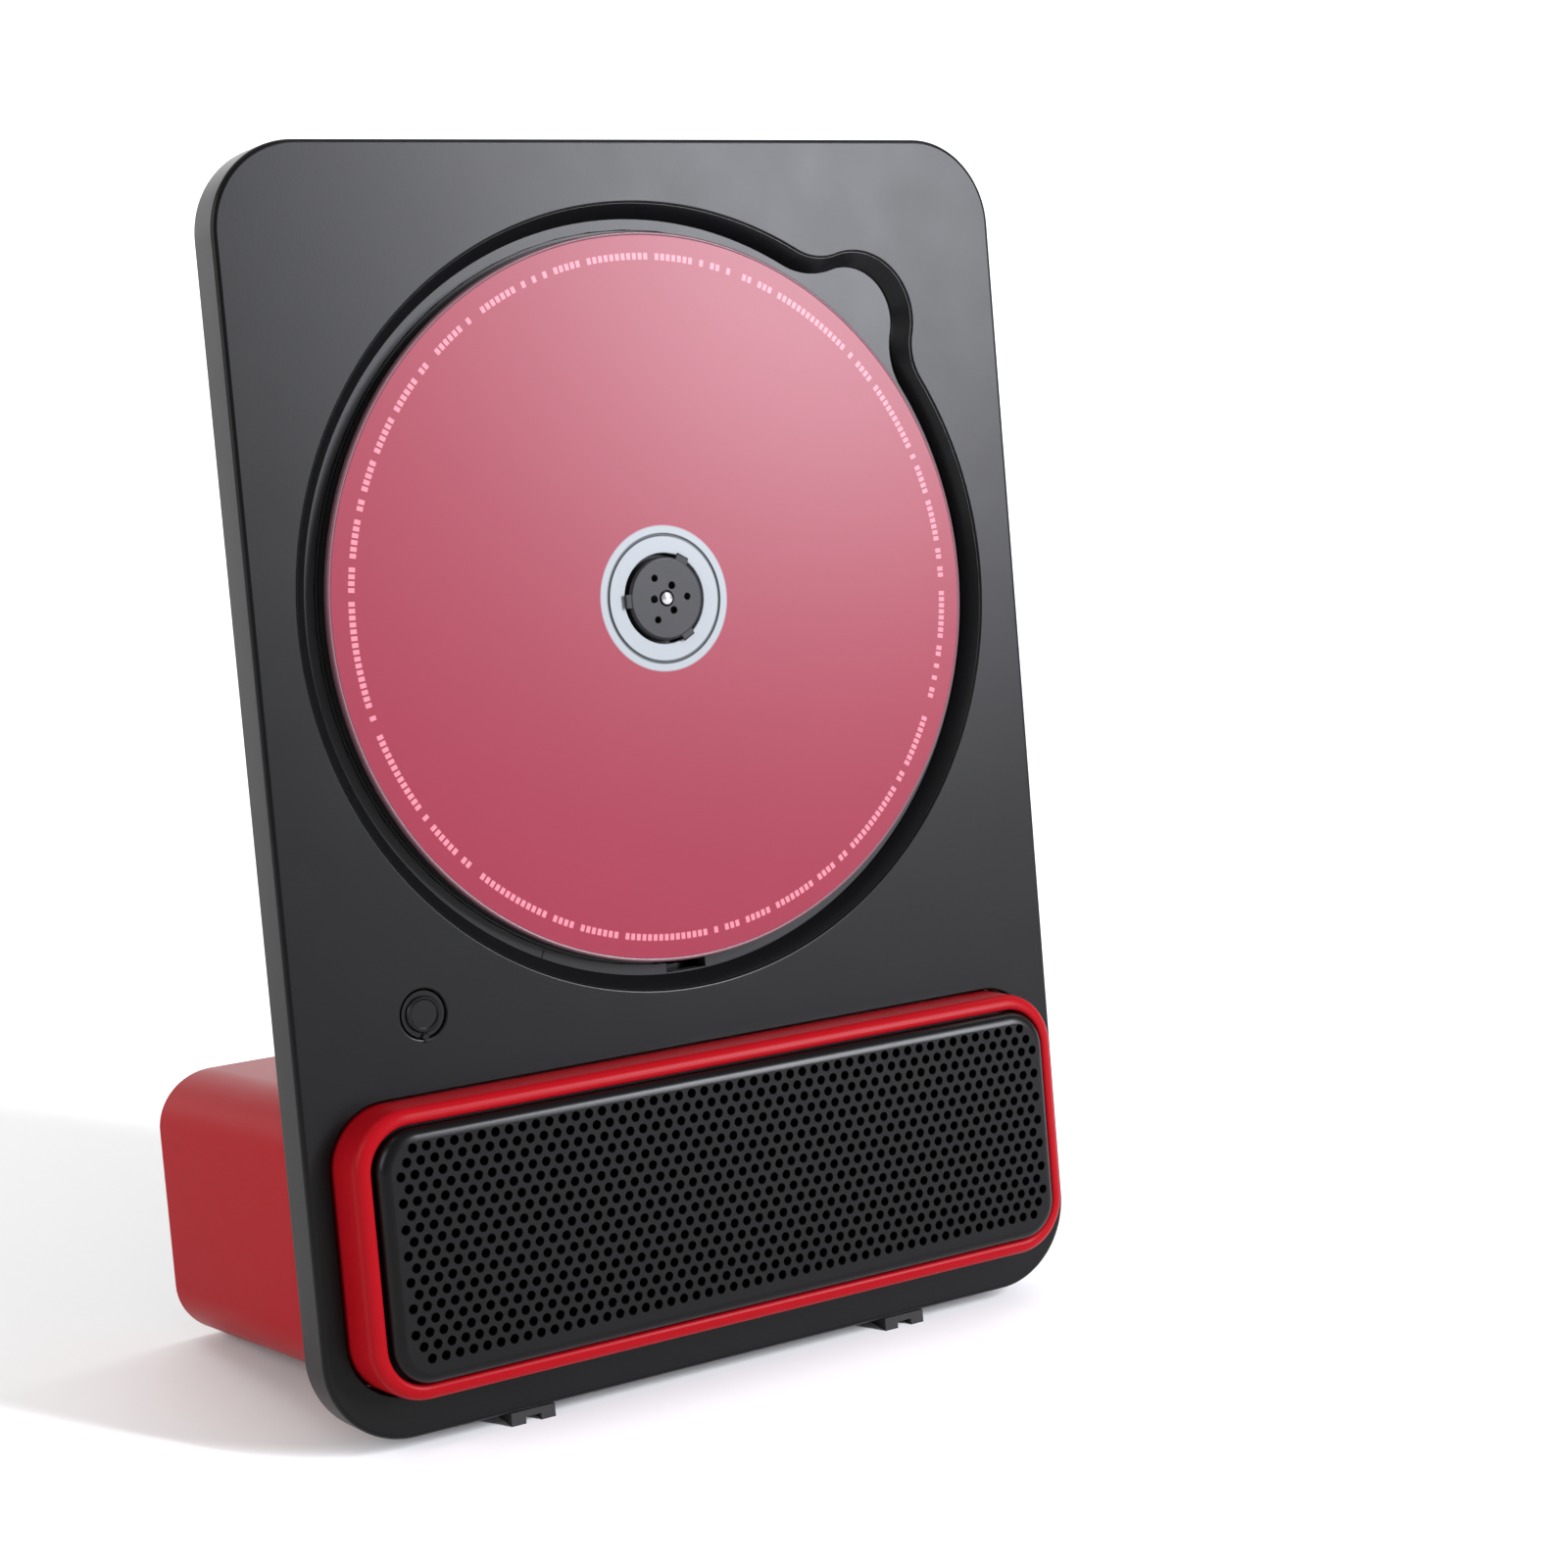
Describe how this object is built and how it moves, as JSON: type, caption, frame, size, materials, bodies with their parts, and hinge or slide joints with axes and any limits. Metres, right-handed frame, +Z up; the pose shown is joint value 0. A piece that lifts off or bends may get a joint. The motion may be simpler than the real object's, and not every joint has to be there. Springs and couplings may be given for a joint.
{
  "type": "upright disc player",
  "caption": "Upright disc player leaning back on a red speaker case, with an exposed disc in a round well, a press button, feet and a working optical drive behind.",
  "frame": {"origin": "bottom centre of the bounding box, on the surface the feet stand on", "axes": "+X to the right seen from the front, +Y to the back, +Z up; the slab leans back by 8.84 degrees"},
  "size_m": [0.1452, 0.0782, 0.2034],
  "materials": {
    "charcoal_shell": "smooth satin dark charcoal moulding",
    "black_gloss": "gloss black",
    "black_plastic": "fine matt black",
    "red_gloss": "polished red",
    "pink_disc": "printed pink label under a clear rim",
    "grey_plastic": "satin grey",
    "steel": "plain bright steel",
    "dark_steel": "dark plated steel",
    "rubber": "matt black rubber",
    "circuit_board": "green circuit board",
    "lens": "clear moulded lens",
    "gear_plastic": "natural white moulding",
    "cone_paper": "black paper cone",
    "cell_sleeve": "blue shrink sleeve"
  },
  "bodies": {
    "root": {"audio_jack": "black_plastic", "battery_cell_1": "cell_sleeve", "battery_cell_2": "cell_sleeve", "battery_holder": "black_plastic", "cover_screw_1": "dark_steel", "cover_screw_2": "dark_steel", "cover_screw_3": "dark_steel", "cover_screw_4": "dark_steel", "damper_1": "rubber", "damper_2": "rubber", "damper_3": "rubber", "damper_4": "rubber", "disc_tray": "charcoal_shell", "drive_board": "circuit_board", "drive_chassis": "dark_steel", "drive_housing": "charcoal_shell", "driver_basket_left": "dark_steel", "driver_basket_right": "dark_steel", "driver_cone_left": "cone_paper", "driver_cone_right": "cone_paper", "feed_motor": "steel", "front_foot_left": "rubber", "front_foot_right": "rubber", "front_panel": "charcoal_shell", "gear_axle": "steel", "guide_rail_left": "steel", "guide_rail_right": "steel", "housing_screw_1": "dark_steel", "housing_screw_2": "dark_steel", "housing_screw_3": "dark_steel", "housing_screw_4": "dark_steel", "main_board": "circuit_board", "play_switch": "steel", "power_inlet": "steel", "rear_cover": "black_plastic", "rear_pad_left": "rubber", "rear_pad_right": "rubber", "rear_panel": "charcoal_shell", "speaker_baffle": "black_plastic", "speaker_case": "red_gloss", "speaker_grille": "black_plastic", "spindle_motor": "steel", "well_bezel": "black_gloss"},
    "spindle": {"turntable": "grey_plastic", "spindle_shaft": "steel", "disc_clip_1": "grey_plastic", "disc_clip_2": "grey_plastic", "disc_clip_3": "grey_plastic"},
    "disc": {"disc": "pink_disc"},
    "sled": {"sled_base": "black_plastic", "pickup_lens": "lens", "sled_rack": "gear_plastic"},
    "transfer_gear": {"transfer_gear": "gear_plastic"},
    "feed_pinion": {"feed_pinion": "gear_plastic"},
    "play_button": {"play_button": "charcoal_shell"},
    "power_switch": {"power_switch": "charcoal_shell"},
    "volume_up_button": {"volume_up_button": "charcoal_shell"},
    "volume_down_button": {"volume_down_button": "charcoal_shell"}
  },
  "joints": [
    {"name": "spindle_spin", "type": "hinge", "parent": "root", "child": "spindle", "pos_m": [0, -0.01199, 0.12934], "axis": [0, -0.9881, 0.1537], "continuous": true},
    {"name": "disc_lift", "type": "slide", "parent": "spindle", "child": "disc", "axis": [0, -0.9881, 0.1537], "range_m": [0, 0.03]},
    {"name": "sled_travel", "type": "slide", "parent": "root", "child": "sled", "axis": [0, -0.1537, -0.9881], "range_m": [0, 0.0332]},
    {"name": "transfer_gear_turn", "type": "hinge", "parent": "root", "child": "transfer_gear", "pos_m": [0.027, -0.00712, 0.09559], "axis": [0, -0.9881, 0.1537], "range_deg": [0, 529]},
    {"name": "feed_pinion_turn", "type": "hinge", "parent": "root", "child": "feed_pinion", "pos_m": [0.03513, -0.00363, 0.08682], "axis": [0, -0.9881, 0.1537], "range_deg": [-1904, 0]},
    {"name": "play_press", "type": "slide", "parent": "root", "child": "play_button", "axis": [0, 0.9881, -0.1537], "range_m": [0, 0.0006], "stiffness_N_per_m": 1200},
    {"name": "power_slide", "type": "slide", "parent": "root", "child": "power_switch", "axis": [1, 0, 0], "range_m": [0, 0.004]},
    {"name": "volume_up_press", "type": "slide", "parent": "root", "child": "volume_up_button", "axis": [0, -0.9881, 0.1537], "range_m": [0, 0.0006], "stiffness_N_per_m": 1200},
    {"name": "volume_down_press", "type": "slide", "parent": "root", "child": "volume_down_button", "axis": [0, -0.9881, 0.1537], "range_m": [0, 0.0006], "stiffness_N_per_m": 1200}
  ],
  "couplings": [
    {"joint": "transfer_gear_turn", "follows": "sled_travel", "rad_per_m": 277.78},
    {"joint": "feed_pinion_turn", "follows": "sled_travel", "rad_per_m": -1000}
  ]
}
